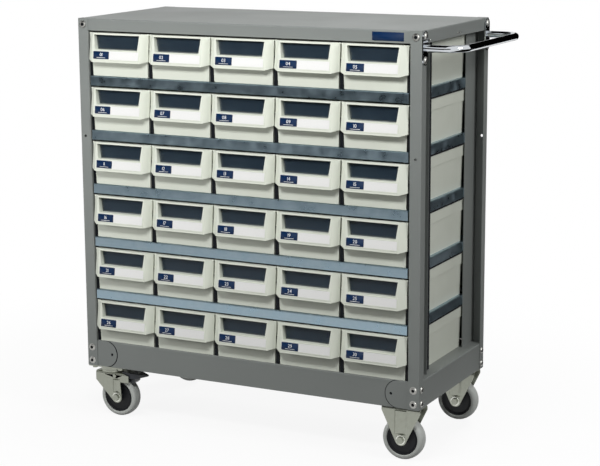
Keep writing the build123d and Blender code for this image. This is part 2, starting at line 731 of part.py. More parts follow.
def brake_pedal(y):
    """A pressed lever between the fork's cheeks, with a shoe under its blade."""
    half = CHEEK_GAP / 2 - PEDAL_GAP
    profile = pedal_profile()
    lever = along_y(profile, y - half, y + half) & along_z(pedal_plan(y, 0), 0, FRAME_BOTTOM)
    room = along_y(Pos(0, -PEDAL_SHEET) * profile, y - half, y + half)
    arms_start = PIVOT[0] - EYE_DIAMETER
    arms_end = CROWN_END + BLADE_START
    room += block((arms_start, y - half, 0), (arms_end, y + half, FRAME_BOTTOM))
    lever -= room & along_z(pedal_plan(y, PEDAL_SHEET), 0, FRAME_BOTTOM)
    under = CROWN_TOP + BLADE_RISE - BLADE_FALL - PEDAL_SHEET / 2
    lever += brake_shoe(y, under)
    bore = PIVOT_DIAMETER / 2 + PIVOT_CLEARANCE
    return lever - along_y(Pos(*PIVOT) * Circle(bore), y - half, y + half)


def brake_shoe(y, top):
    """The block under the blade; its flat face meets the tyre when the pedal is down."""
    swing = math.radians(PEDAL_ANGLE)
    arm_x = SWIVEL_WHEEL_X - PIVOT[0]
    arm_z = AXLE_HEIGHT - PIVOT[1]
    centre_x = PIVOT[0] + arm_x * math.cos(swing) - arm_z * math.sin(swing)
    centre_z = PIVOT[1] + arm_x * math.sin(swing) + arm_z * math.cos(swing)
    start = math.radians(SHOE_FROM)
    end = math.radians(SHOE_TO)
    inner = (WHEEL_DIAMETER / 2 + SHOE_CLEARANCE) / math.cos((end - start) / 2)
    outer = inner + SHOE_THICKNESS

    def spot(radius, angle):
        return (centre_x + radius * math.sin(angle), centre_z + radius * math.cos(angle))

    toe = spot(inner, start)
    back = spot(outer, end)
    outline = Polyline(toe, spot(inner, end), back, (back[0], top), (toe[0], top), close=True)
    return along_y(make_face(outline), y - SHOE_WIDTH / 2, y + SHOE_WIDTH / 2)


def write(name, solids):
    """Writes one node, moved so that the model stands on the middle of its outline."""
    if not isinstance(solids, list):
        solids = [solids]
    moved = []
    for item in solids:
        moved.extend((Pos(-MIDDLE_X, -MIDDLE_Y, 0) * item).solids())
    export_step(Compound(moved), f"parts/{name}.step")


def main():
    os.makedirs("parts", exist_ok=True)
    write("top_cover", top_cover())
    write("base_tray", base_tray())
    write("back_panel", back_panel())
    write("corner_gussets", corner_gussets())
    write("post_front_right", front_post())
    write("post_front_left", to_left(front_post()))
    write("post_rear_right", rear_post())
    write("post_rear_left", to_left(rear_post()))
    for level in range(1, ROWS):
        write(f"shelf_{level}", shelf(BASE_TOP + level * ROW_PITCH))
    write("push_handle", push_handle())
    write("screws", screws())
    one_drawer = drawer()
    for row in range(1, ROWS + 1):
        floor = BASE_TOP + (ROWS - row) * ROW_PITCH + RUN_GAP
        for column in range(1, COLUMNS + 1):
            x = (column - (COLUMNS + 1) / 2) * COLUMN_PITCH
            write(f"drawer_{row}_{column}", [Pos(x, 0, floor) * item for item in one_drawer])
    write("swivel_plates", [swivel_plate(y) for y in CASTER_ROWS.values()])
    for place, y in CASTER_ROWS.items():
        write(f"fixed_bracket_{place}", fixed_bracket(y))
        write(f"swivel_fork_{place}", fork(y))
        write(f"brake_pedal_{place}", brake_pedal(y))
        for side, x in (("left", SWIVEL_WHEEL_X), ("right", FIXED_X)):
            write(f"hub_{place}_{side}", hub(x, y))
            write(f"tyre_{place}_{side}", tyre(x, y))


main()
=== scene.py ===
import math

import bmesh
import bpy
from mathutils import Matrix, Vector


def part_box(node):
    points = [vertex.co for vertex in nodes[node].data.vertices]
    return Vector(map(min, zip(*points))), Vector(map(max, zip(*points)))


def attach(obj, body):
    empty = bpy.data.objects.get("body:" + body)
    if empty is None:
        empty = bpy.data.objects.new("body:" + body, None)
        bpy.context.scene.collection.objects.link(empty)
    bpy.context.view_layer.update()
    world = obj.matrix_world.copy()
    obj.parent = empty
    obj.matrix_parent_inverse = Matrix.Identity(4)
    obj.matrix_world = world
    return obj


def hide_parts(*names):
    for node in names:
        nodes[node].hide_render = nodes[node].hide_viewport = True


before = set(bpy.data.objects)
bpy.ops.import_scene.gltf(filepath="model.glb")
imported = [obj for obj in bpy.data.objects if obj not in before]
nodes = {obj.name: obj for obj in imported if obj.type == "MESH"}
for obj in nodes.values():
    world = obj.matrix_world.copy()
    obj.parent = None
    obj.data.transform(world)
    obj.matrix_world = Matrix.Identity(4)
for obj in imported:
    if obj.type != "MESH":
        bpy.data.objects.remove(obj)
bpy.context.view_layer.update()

MM = 0.001
ROWS = range(1, 7)
COLUMNS = range(1, 6)
WHEELS = ("front_left", "front_right", "rear_left", "rear_right")

# Camera, as fitted to the corners of the cabinet in the photograph
FOCAL_PX = 1747.2
PHOTO_WIDTH = 600
SENSOR = 36.0  # millimetres
YAW = math.radians(26.88)
PITCH = math.radians(11.61)
ROLL = 0.0054  # radians
DISTANCE = 3.9528  # metres, to the point that it looks at
AIM_RIGHT = 0.1449  # metres, from the middle of the front
AIM_HEIGHT = 0.5082  # metres above the floor
VIEW_END = 100.0  # metres


def linear(code):
    """A linear colour from an sRGB hex value."""
    shares = [int(code[i : i + 2], 16) / 255 for i in (1, 3, 5)]
    return [s / 12.92 if s <= 0.04045 else ((s + 0.055) / 1.055) ** 2.4 for s in shares] + [1.0]


def per_mm(size):
    """Texture scale at which one feature is that many millimetres across."""
    return 1 / (size * MM)


def add(tree, kind, fields):
    """Adds a shader node. A field is a property, a socket's value, or an output to link to it."""
    made = tree.nodes.new("ShaderNode" + kind)
    for name, value in fields.items():
        if isinstance(name, str) and name not in made.inputs:
            setattr(made, name, value)
        elif isinstance(value, bpy.types.NodeSocket):
            tree.links.new(value, made.inputs[name])
        else:
            made.inputs[name].default_value = value
    return made


def new_material(name):
    """An empty node material, its tree, and object coordinates in metres."""
    made = bpy.data.materials.new(name)
    made.use_nodes = True
    made.node_tree.nodes.clear()
    place = add(made.node_tree, "TexCoord", {}).outputs["Object"]
    return made, made.node_tree, place


def mottled(tree, place, size, detail, colours):
    """A soft noise of that size in millimetres, as a value and as a blend of two colours."""
    cloud = add(tree, "TexNoise", {"Vector": place, "Scale": per_mm(size), "Detail": detail})
    low, high = (linear(code) for code in colours)
    fields = {"Fac": cloud.outputs["Fac"], "Color1": low, "Color2": high}
    return cloud.outputs["Fac"], add(tree, "MixRGB", fields).outputs[0]


def grain(tree, place, size, depth, detail=2.0, stretch=None):
    """Relief from a fine noise, sizes in millimetres. It may be stretched along an axis."""
    if stretch:
        place = add(tree, "Mapping", {"Vector": place, "Scale": stretch}).outputs[0]
    cloud = add(tree, "TexNoise", {"Vector": place, "Scale": per_mm(size), "Detail": detail})
    fields = {"Height": cloud.outputs["Fac"], "Distance": depth * MM, "Strength": 1.0}
    return add(tree, "Bump", fields).outputs[0]


# Where most of a noise's values lie
NOISE_LOW = 0.3
NOISE_HIGH = 0.7


def finish(name, size, detail, colours, rough, relief=None, **fields):
    """A material that a noise of that size varies between two colours and two roughnesses.

    The relief, if any, is what grain() takes. More fields go to the principled shader.
    """
    made, tree, place = new_material(name)
    fac, fields["Base Color"] = mottled(tree, place, size, detail, colours)
    span = {"From Min": NOISE_LOW, "From Max": NOISE_HIGH, "To Min": rough[0], "To Max": rough[1]}
    fields["Roughness"] = add(tree, "MapRange", {"Value": fac, **span}).outputs[0]
    if relief:
        fields["Normal"] = grain(tree, place, *relief)
    shader = add(tree, "BsdfPrincipled", fields)
    add(tree, "OutputMaterial", {"Surface": shader.outputs[0]})
    return made


def powder_coated_steel():
    """Sheet steel under a stoved grey polyester powder: satin, with a fine orange-peel skin."""
    # Real orange peel is about 1 mm across; drawn 3 mm across so that it shows
    skin = (3.0, 0.05)
    greys = ("#7D817F", "#858986")
    return finish("powder_coated_steel", 220, 3.0, greys, (0.42, 0.52), skin, IOR=1.45)


def zinc_plated_sheet():
    """Rolled sheet, zinc plated and passivated: a cloudy blue metal with rolling lines along X."""
    # Real rolling lines are finer than 0.1 mm; drawn 1.6 mm apart so that they show
    lines = (1.6, 0.03, 3.0, (0.03, 1.0, 1.0))
    blues = ("#8099A8", "#B2C4CD")
    return finish("zinc_plated_sheet", 26, 6.0, blues, (0.25, 0.41), lines, Metallic=1.0)


def zinc_plated_pressing():
    """Pressed caster steel, zinc plated with a faint yellow cast: a dull, grainy metal."""
    # The plating's own grain is finer than 0.1 mm; drawn 1.2 mm across so that it shows
    greys = ("#94978B", "#AFB2A7")
    return finish("zinc_plated_pressing", 9, 4.0, greys, (0.34, 0.48), (1.2, 0.04), Metallic=1.0)


def moulded_bin_plastic():
    """Ivory polypropylene from a spark-eroded mould: pale and waxy, with soft highlights."""
    # Real spark-eroded grain is about 0.1 mm across; drawn 1.5 mm across so that it shows
    ivories = ("#D9DDD0", "#E0E4D8")
    return finish("moulded_bin_plastic", 45, 2.0, ivories, (0.4, 0.5), (1.5, 0.02), IOR=1.49)


def smoked_window_pane():
    """Moulded clear polystyrene with a smoky blue tint: glossy, and dark over an unlit drawer."""
    blues = ("#2C3947", "#3A4957")
    return finish("smoked_window_pane", 30, 2.0, blues, (0.14, 0.22), IOR=1.38, Alpha=0.45)


def label_card_stock():
    """White card behind a clear film: bright and smooth, with a faint pulp."""
    return finish("label_card_stock", 2.5, 3.0, ("#E6E6E4", "#EEEEEC"), (0.45, 0.55))


def printed_blue_film():
    """Deep blue ink on a smooth plastic film: even colour with a satin face."""
    return finish("printed_blue_film", 4, 2.0, ("#031F40", "#06264A"), (0.45, 0.55), IOR=1.36)


def printed_white_ink():
    """Opaque white ink of the numbers."""
    return finish("printed_white_ink", 1, 2.0, ("#EDEDEB", "#F5F5F3"), (0.45, 0.55))


def chromed_tube():
    """Polished steel tube under bright chromium: a mirror with a faint haze."""
    return finish("chromed_tube", 40, 2.0, ("#C4C8CC", "#D0D4D8"), (0.03, 0.07), Metallic=1.0)


def nickel_plated_screw():
    """Nickel-plated button heads: bright, a little soft from tumbling."""
    greys = ("#A9A9A5", "#BCBCB7")
    return finish("nickel_plated_screw", 5, 2.0, greys, (0.34, 0.44), Metallic=1.0)


def bright_zinc_bolt():
    """Bright-zinc bolts, nuts and washers: smoother than the pressings they hold."""
    greys = ("#CFD1C8", "#E0E2DA")
    return finish("bright_zinc_bolt", 4, 2.0, greys, (0.24, 0.34), Metallic=1.0)


def painted_shade_black():
    """Painted shade: a near black, matt colour laid where joints, holes and gaps lie in shadow."""
    return finish("painted_shade_black", 6, 2.0, ("#14161A", "#1B1D21"), (0.7, 0.85), IOR=1.3)


def black_painted_steel():
    """Pressed steel dipped in glossy black paint with a blue cast."""
    return finish("black_painted_steel", 12, 2.0, ("#161A20", "#1E242C"), (0.26, 0.38))


def moulded_black_nylon():
    """Black nylon of the hubs: near black, with a low sheen."""
    # Real moulding grain is about 0.1 mm across; drawn 1.2 mm across so that it shows
    blacks = ("#0B0D10", "#111418")
    return finish("moulded_black_nylon", 15, 2.0, blacks, (0.5, 0.62), (1.2, 0.02), IOR=1.4)


def grey_tyre_rubber():
    """Non-marking grey rubber: matt, slightly scuffed."""
    greys = ("#BCBFBB", "#CBCFCA")
    return finish("grey_tyre_rubber", 8, 4.0, greys, (0.5, 0.62), (0.9, 0.03), IOR=1.52)


paint = powder_coated_steel()
zinc_sheet = zinc_plated_sheet()
zinc_pressing = zinc_plated_pressing()
bin_plastic = moulded_bin_plastic()
pane = smoked_window_pane()
card = label_card_stock()
blue = printed_blue_film()
ink = printed_white_ink()
chrome = chromed_tube()
nickel = nickel_plated_screw()
bolt_zinc = bright_zinc_bolt()
# The near black colour laid in place of shade in joints, holes and gaps
painted_shade = painted_shade_black()
black_steel = black_painted_steel()
nylon = moulded_black_nylon()
rubber = grey_tyre_rubber()

# Edges: the radius of each kind of piece, in millimetres, and what counts as an edge
BIN_EDGE = 0.7
PAINTED_EDGE = 0.35
SHELF_EDGE = 0.3
TUBE_EDGE = 0.5
CASTER_EDGE = 0.4
PEDAL_EDGE = 0.5
EDGE_STEPS = 2
EDGE_FROM = math.radians(34)  # an edge as sharp as this is rounded
HARD_FROM = math.radians(40)  # an added piece's edge stays hard from here
SAME_POINT = 0.005 * MM  # vertices nearer than this are joined
POINT_GRID = 0.002 * MM  # on which vertices of one solid fall together


def round_edges(obj, width):
    """Real edges are never sharp: rounds each edge and keeps flat faces flat."""
    weld = obj.modifiers.new("weld", "WELD")
    weld.merge_threshold = SAME_POINT
    bevel = obj.modifiers.new("edge_radius", "BEVEL")
    bevel.width = width * MM
    bevel.segments = EDGE_STEPS
    bevel.limit_method = "ANGLE"
    bevel.angle_limit = EDGE_FROM
    shading = obj.modifiers.new("flat_faces", "WEIGHTED_NORMAL")
    shading.keep_sharp = True
    obj.data.shade_smooth()


def dress(name, material, width):
    """Gives a CAD node its finish and its edge radius, in millimetres."""
    obj = nodes[name]
    obj.data.materials.clear()
    obj.data.materials.append(material)
    for polygon in obj.data.polygons:
        polygon.material_index = 0
    with bpy.context.temp_override(object=obj, active_object=obj, selected_objects=[obj]):
        bpy.ops.mesh.customdata_custom_splitnormals_clear()
    round_edges(obj, width)
    return obj


def solids_of(name):
    """The separate solids in a CAD node, each as its polygons and its vertices' positions."""
    mesh = nodes[name].data
    keys = {}
    group = list(range(len(mesh.vertices)))

    def root(i):
        """The vertex that stands for this one's whole solid."""
        while group[i] != i:
            group[i] = group[group[i]]
            i = group[i]
        return i

    for vertex in mesh.vertices:
        key = tuple(round(c / POINT_GRID) for c in vertex.co)
        group[vertex.index] = keys.setdefault(key, vertex.index)
    for polygon in mesh.polygons:
        first = root(polygon.vertices[0])
        for index in polygon.vertices[1:]:
            group[root(index)] = first
    found = {}
    for polygon in mesh.polygons:
        found.setdefault(root(polygon.vertices[0]), []).append(polygon)
    return [
        (polygons, [mesh.vertices[i].co.copy() for p in polygons for i in p.vertices])
        for polygons in found.values()
    ]


def corners(points):
    """Lowest and highest corner of some points."""
    low = Vector([min(p[i] for p in points) for i in range(3)])
    high = Vector([max(p[i] for p in points) for i in range(3)])
    return low, high


def new_piece(name, mesh, material, body, place=None):
    """Places a piece and lets it ride on a body."""
    if not mesh.materials:
        mesh.materials.append(material)
    obj = bpy.data.objects.new(name, mesh)
    bpy.context.scene.collection.objects.link(obj)
    if place is not None:
        obj.matrix_world = place
    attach(obj, body)
    return obj


def as_mesh(name, points, faces):
    """A mesh from points and faces, shaded smooth, its faces turned outwards."""
    mesh = bpy.data.meshes.new(name)
    mesh.from_pydata(points, [], faces)
    tool = bmesh.new()
    tool.from_mesh(mesh)
    bmesh.ops.recalc_face_normals(tool, faces=tool.faces)
    tool.to_mesh(mesh)
    tool.free()
    mesh.shade_smooth()
    return mesh


def lathe(name, profile, steps):
    """A closed profile of (radius, y) points turned about Y."""
    count = len(profile)
    points = []
    faces = []
    for step in range(steps):
        angle = 2 * math.pi * step / steps
        points += [(r * math.sin(angle), y, r * math.cos(angle)) for r, y in profile]
        for i in range(count):
            j = (i + 1) % count
            k = (step + 1) % steps
            faces.append((step * count + i, step * count + j, k * count + j, k * count + i))
    return as_mesh(name, points, faces)


def plate(name, outline, thickness):
    """A flat plate from an outline in X and Z, its back at y = 0 and its face towards -Y."""
    count = len(outline)
    points = [(x, 0, z) for x, z in outline] + [(x, -thickness, z) for x, z in outline]
    faces = [tuple(range(count)), tuple(range(2 * count - 1, count - 1, -1))]
    faces += [(i, (i + 1) % count, count + (i + 1) % count, count + i) for i in range(count)]
    return as_mesh(name, points, faces)


def slabs(name, spans):
    """Plain blocks in one mesh, each between its low and its high corner."""
    points = []
    faces = []
    sides = [(0, 1, 3, 2), (4, 6, 7, 5), (0, 4, 5, 1), (2, 3, 7, 6), (0, 2, 6, 4), (1, 5, 7, 3)]
    for low, high in spans:
        base = len(points)
        xs, ys, zs = zip(low, high)
        points += [(x, y, z) for x in xs for y in ys for z in zs]
        faces += [tuple(base + i for i in side) for side in sides]
    mesh = as_mesh(name, points, faces)
    mesh.set_sharp_from_angle(angle=HARD_FROM)
    return mesh


def rounded_outline(width, height, radius, steps=5):
    """A rectangle with round corners about the origin."""
    outline = []
    for quarter in range(4):
        x = (width / 2 - radius) * (1 if quarter in (0, 3) else -1)
        z = (height / 2 - radius) * (1 if quarter in (0, 1) else -1)
        for step in range(steps + 1):
            angle = math.pi / 2 * (quarter + step / steps)
            outline.append((x + radius * math.cos(angle), z + radius * math.sin(angle)))
    return outline


# Blue tags on the drawers' label cards, each with a number over a rule
TAG_WIDTH = 43 * MM
TAG_HEIGHT = 18 * MM
TAG_CORNER = 1.5 * MM
TAG_THICKNESS = 0.3 * MM
TAG_INSET = 1.0 * MM  # from the card's left end
INK_THICKNESS = 0.06 * MM
DIGIT_HEIGHT = 11 * MM
DIGIT_GAP = 0.9 * MM
DIGIT_STEPS = 3  # of a digit's curves
NUMBER_RISE = 1.5 * MM  # above the tag's middle
RULE_WIDTH = 24 * MM
RULE_HEIGHT = 0.9 * MM
RULE_CORNER = 0.3 * MM
RULE_FALL = 5.8 * MM  # below the tag's middle


def numeral_meshes():
    """The ten digits as thin raised outlines, each as points and faces."""
    digits = {}
    for digit in "0123456789":
        curve = bpy.data.curves.new("digit", "FONT")
        curve.body = digit
        curve.size = DIGIT_HEIGHT
        curve.extrude = INK_THICKNESS
        curve.resolution_u = DIGIT_STEPS
        obj = bpy.data.objects.new("digit", curve)
        bpy.context.scene.collection.objects.link(obj)
        bpy.context.view_layer.update()
        mesh = bpy.data.meshes.new_from_object(obj)
        points = [tuple(v.co) for v in mesh.vertices]
        faces = [tuple(p.vertices) for p in mesh.polygons]
        digits[digit] = (points, faces)
        bpy.data.objects.remove(obj)
        bpy.data.curves.remove(curve)
        bpy.data.meshes.remove(mesh)
    return digits


def number_mesh(digits, number):
    """A two-digit number standing in X and Z, centred on the origin."""
    points = []
    faces = []
    start = 0.0
    for digit in f"{number:02d}":
        digit_points, digit_faces = digits[digit]
        left = min(p[0] for p in digit_points)
        right = max(p[0] for p in digit_points)
        base = len(points)
        points += [(x - left + start, -z, y) for x, y, z in digit_points]
        faces += [tuple(base + i for i in face) for face in digit_faces]
        start += right - left + DIGIT_GAP
    low, high = corners(points)
    middle_x = (low.x + high.x) / 2
    middle_z = (low.z + high.z) / 2
    centred = [(x - middle_x, y, z - middle_z) for x, y, z in points]
    return as_mesh(f"number_{number:02d}", centred, faces)


def dress_drawer(name):
    """Finishes a drawer's bin, pane and card, and returns the card's points."""
    materials = dress(name, bin_plastic, BIN_EDGE).data.materials
    materials.append(pane)
    materials.append(card)
    solids = sorted(solids_of(name), key=lambda solid: corners(solid[1])[0].y)
    bin_solid = max(solids, key=lambda solid: len(solid[0]))
    card_solid, pane_solid = [solid for solid in solids if solid is not bin_solid]
    for index, solid in ((1, pane_solid), (2, card_solid)):
        for polygon in solid[0]:
            polygon.material_index = index
    return card_solid[1]


def tag_place(card_points):
    """Where a tag lies: flat on the leaning label card, near its left end."""
    low, high = corners(card_points)
    foot_y = min(p.y for p in card_points if p.z < low.z + MM)
    head_y = min(p.y for p in card_points if p.z > high.z - MM)
    lean = math.atan2(head_y - foot_y, high.z - low.z)
    x = low.x + TAG_INSET + TAG_WIDTH / 2
    middle = Vector((x, (foot_y + head_y) / 2, (low.z + high.z) / 2))
    return Matrix.Translation(middle) @ Matrix.Rotation(-lean, 4, "X")


def dress_drawers():
    """Finishes each drawer and gives its card a blue tag with a plain number over a rule."""
    tag_mesh = plate("tag", rounded_outline(TAG_WIDTH, TAG_HEIGHT, TAG_CORNER), TAG_THICKNESS)
    rule_outline = rounded_outline(RULE_WIDTH, RULE_HEIGHT, RULE_CORNER)
    rule_mesh = plate("rule", rule_outline, INK_THICKNESS)
    digits = numeral_meshes()
    above = Matrix.Translation((0, -TAG_THICKNESS, NUMBER_RISE))
    below = Matrix.Translation((0, -TAG_THICKNESS, -RULE_FALL))
    for row in ROWS:
        for column in COLUMNS:
            key = f"{row}_{column}"
            drawer = f"drawer_{key}"
            middle = tag_place(dress_drawer(drawer))
            figures = number_mesh(digits, (row - 1) * len(COLUMNS) + column)
            new_piece(f"tag_{key}", tag_mesh, blue, drawer, middle)
            new_piece(f"number_{key}", figures, ink, drawer, middle @ above)
            new_piece(f"rule_{key}", rule_mesh, ink, drawer, middle @ below)


def dress_bracket(name):
    """Zinc on a caster's bracket, and the brighter zinc of bolts on its axle and pins."""
    dress(name, zinc_pressing, CASTER_EDGE).data.materials.append(bolt_zinc)
    solids = solids_of(name)
    widest = max(solids, key=lambda solid: (corners(solid[1])[1] - corners(solid[1])[0]).length)
    for polygons, _ in solids:
        if polygons is not widest[0]:
            for polygon in polygons:
                polygon.material_index = 1


def dress_frame():
    """Paint on the frame, zinc on shelves and casters, chrome on the handle."""
    painted = ["top_cover", "base_tray", "back_panel", "corner_gussets"]
    painted += [f"post_{end}_{side}" for end in ("front", "rear") for side in ("left", "right")]
    for name in painted:
        dress(name, paint, PAINTED_EDGE)
    for level in range(1, len(ROWS)):
        dress(f"shelf_{level}", zinc_sheet, SHELF_EDGE)
    dress("push_handle", chrome, TUBE_EDGE)
    dress("swivel_plates", zinc_pressing, CASTER_EDGE)
    for place in ("front", "rear"):
        dress_bracket(f"fixed_bracket_{place}")
        dress_bracket(f"swivel_fork_{place}")
        dress(f"brake_pedal_{place}", black_steel, PEDAL_EDGE)


# Washers under the axle bolts' heads and nuts
WASHER_RADIUS = 11.5 * MM
WASHER_BORE = 5.0 * MM
WASHER_THICKNESS = 1.4 * MM
WASHER_STEPS = 48
CHEEK_OUT = 22.0 * MM  # outer face of a cheek from the wheel's middle


def fit_washers():
    """A turned washer on both cheeks of each caster."""
    ring = [
        (WASHER_BORE, 0.0),
        (WASHER_RADIUS, 0.0),
        (WASHER_RADIUS, 0.7 * WASHER_THICKNESS),
        (WASHER_RADIUS - 0.3 * WASHER_THICKNESS, WASHER_THICKNESS),
        (WASHER_BORE, WASHER_THICKNESS),
    ]
    mesh = lathe("washer", ring, WASHER_STEPS)
    mesh.set_sharp_from_angle(angle=HARD_FROM)
    for place in WHEELS:
        low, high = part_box(f"tyre_{place}")
        body = "cabinet" if place.endswith("right") else f"fork_{place.split('_')[0]}"
        for side, turn in ((1, 0.0), (-1, math.pi)):
            seat = (low + high) / 2 + Vector((0, side * CHEEK_OUT, 0))
            where = Matrix.Translation(seat) @ Matrix.Rotation(turn, 4, "Z")
            name = f"washer_{place}_{'rear' if side > 0 else 'front'}"
            new_piece(name, mesh, bolt_zinc, body, where)


# Painted shadow round each corner gusset, as a thin black sheet
GUSSET_SHADOW_WIDTH = 1.9 * MM
GUSSET_SHADOW_THICKNESS = 0.12 * MM
GUSSET_SHADOW_STEPS = 40


def cabinet_middle_x():
    """Middle of the frame from left to right, without the handle."""
    return (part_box("post_front_left")[0].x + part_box("post_front_right")[1].x) / 2


def fit_gusset_painted_shadows():
    """A painted shadow round each gusset plate: a thin black sheet behind its edge, for the shaded
    gap there.
    """
    for _, points in solids_of("corner_gussets"):
        low, high = corners(points)
        radius = (high.z - low.z) / 2
        inner_end = low.x if low.x + high.x > 2 * cabinet_middle_x() else high.x
        post_end = high.x if inner_end == low.x else low.x
        side = 1 if post_end > inner_end else -1
        centre_x = inner_end + side * radius
        centre_z = low.z + radius
        reach = radius + GUSSET_SHADOW_WIDTH
        outline = []
        for step in range(GUSSET_SHADOW_STEPS + 1):
            angle = math.pi / 2 + math.pi * step / GUSSET_SHADOW_STEPS
            x = centre_x + side * reach * math.cos(angle)
            z = centre_z + reach * math.sin(angle)
            outline.append((x, min(max(z, low.z), high.z)))
        outline += [(post_end, low.z), (post_end, high.z)]
        # A black outline that paints the shadow round the plate
        mesh = plate("gusset_painted_shadow", outline, GUSSET_SHADOW_THICKNESS)
        name = "gusset_painted_shadow_right" if side > 0 else "gusset_painted_shadow_left"
        where = Matrix.Translation((0, high.y, 0))
        new_piece(name, mesh, painted_shade, "cabinet", where)


# Painted shade at the open sides: black sheets where the frame lies in shadow
WEB_END = 75.0 * MM  # of a post's inner web, from the post's face
STRIP_END = 119.0 * MM  # of the painted shade behind it, from the same face
STRIP_THICKNESS = 1.5 * MM
GAP_STRIP = 4.6 * MM  # hanging under each shelf's side flange
GAP_STRIP_INSET = 1.1 * MM
GAP_STRIP_THICKNESS = 0.6 * MM


def fit_side_painted_shade():
    """Painted shade: a black sheet behind each front post's web, where it lies unlit behind the
    lip, and a black strip of painted shadow under each shelf's side.
    """
    shelf_low, shelf_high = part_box("shelf_1")
    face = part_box("post_front_right")[0].y
    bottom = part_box("base_tray")[1].z
    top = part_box("top_cover")[0].z
    for end, x, side in (("right", shelf_high.x, 1), ("left", shelf_low.x, -1)):
        near, far = sorted((x, x + side * STRIP_THICKNESS))
        span = ((near, face + WEB_END, bottom), (far, face + STRIP_END, top))
        # A black sheet painted where the post's inner web lies in shade
        web_shade = slabs("web_painted_shade", [span])
        new_piece(f"web_painted_shade_{end}", web_shade, painted_shade, "cabinet")
        outer = x - side * GAP_STRIP_INSET
        near, far = sorted((outer, outer - side * GAP_STRIP_THICKNESS))
        for level in range(1, len(ROWS)):
            low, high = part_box(f"shelf_{level}")
            foot = (near, face + STRIP_END, low.z - GAP_STRIP)
            # A black strip of painted shadow for the shaded gap under the shelf's flange
            strip = slabs("gap_painted_shadow", [(foot, (far, high.y - WEB_END, low.z))])
            new_piece(f"gap_painted_shadow_{level}_{end}", strip, painted_shade, "cabinet")


# Painted shade: black sheets that stand in the shaded gaps between the drawers' bodies
BODY_INSET = 4.0 * MM  # of a drawer's wall from its rim
HOOD_REACH = 20.0 * MM  # of the hood in front of the drawer's wall
SHADE_SETBACK = 3.0 * MM  # behind the drawer's wall
SHADE_SHEET = 1.2 * MM
SHADE_RISE = 66.0 * MM
SHADE_CLEARANCE = 0.8 * MM


def fit_gap_painted_shade():
    """An upright black sheet of painted shade in each gap beside a drawer's body, at the front of
    its row.
    """
    shelf_low, shelf_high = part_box("shelf_1")
    for row in ROWS:
        carrier = "base_tray" if row == len(ROWS) else f"shelf_{row}"
        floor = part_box(carrier)[1].z
        boxes = [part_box(f"drawer_{row}_{column}") for column in COLUMNS]
        lefts = [shelf_low.x] + [high.x - BODY_INSET + SHADE_CLEARANCE for _, high in boxes]
        rights = [low.x + BODY_INSET - SHADE_CLEARANCE for low, _ in boxes] + [shelf_high.x]
        front = boxes[0][0].y + HOOD_REACH + SHADE_SETBACK
        spans = [
            ((left, front, floor), (right, front + SHADE_SHEET, floor + SHADE_RISE))
            for left, right in zip(lefts, rights)
        ]
        # Black sheets of painted shade in the gaps between the bins
        new_piece(f"gap_shade_sheets_{row}", slabs("gap_shade_sheets", spans), painted_shade, "cabinet")


# Small fixings on the cover's side flanges: a hole, drawn as a black disc of painted shade, a rivet
# beside it and a slot
FIXING_RISE = 4.6 * MM  # above the flange's lower edge
HOLE_BEHIND = 39.0 * MM  # the front face
HOLE_WIDTH = 6.4 * MM
HOLE_CORNER = 3.1 * MM
HOLE_THICKNESS = 0.1 * MM
COVER_RIVET_BESIDE = 7.5 * MM
COVER_RIVET_WIDTH = 3.6 * MM
COVER_RIVET_CORNER = 1.7 * MM
COVER_RIVET_THICKNESS = 0.7 * MM
SLOT_BEHIND = 218.0 * MM
SLOT_LENGTH = 24.0 * MM
SLOT_HEIGHT = 2.4 * MM
SLOT_CORNER = 1.15 * MM
SLOT_THICKNESS = 0.25 * MM


def fit_cover_fixings():
    """On each side flange of the cover, a hole drawn as a black disc of painted shade, a rivet and,
    farther back, a bright slot.
    """
    low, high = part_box("top_cover")
    hole = plate("cover_hole_shade", rounded_outline(HOLE_WIDTH, HOLE_WIDTH, HOLE_CORNER), HOLE_THICKNESS)
    rivet_outline = rounded_outline(COVER_RIVET_WIDTH, COVER_RIVET_WIDTH, COVER_RIVET_CORNER)
    rivet = plate("cover_rivet", rivet_outline, COVER_RIVET_THICKNESS)
    slot_outline = rounded_outline(SLOT_LENGTH, SLOT_HEIGHT, SLOT_CORNER)
    slot = plate("cover_slot", slot_outline, SLOT_THICKNESS)
    rivet_behind = HOLE_BEHIND + COVER_RIVET_BESIDE
    for end, x, turn in (("right", high.x, math.pi / 2), ("left", low.x, -math.pi / 2)):
        turned = Matrix.Rotation(turn, 4, "Z")
        for name, mesh, material, finish_slot, behind, rise in (
            ("cover_hole_shade", hole, painted_shade, "black_steel", HOLE_BEHIND, 0.0),
            ("cover_rivet", rivet, bolt_zinc, "nickel", rivet_behind, 0.0),
            ("cover_slot", slot, bolt_zinc, "nickel", SLOT_BEHIND, SLOT_HEIGHT),
        ):
            where = Matrix.Translation((x, low.y + behind, low.z + FIXING_RISE + rise)) @ turned
            new_piece(f"{name}_{end}", mesh, material, "cabinet", where)


# Rivet on each pedal's blade
RIVET_RADIUS = 4.2 * MM
RIVET_HEIGHT = 0.9 * MM
RIVET_STEPS = 32
RIVET_FROM_TIP = 25 * MM
RIVET_FALL = 4.4 * MM  # below the blade's high end
BLADE_LEAN = math.radians(5.6)


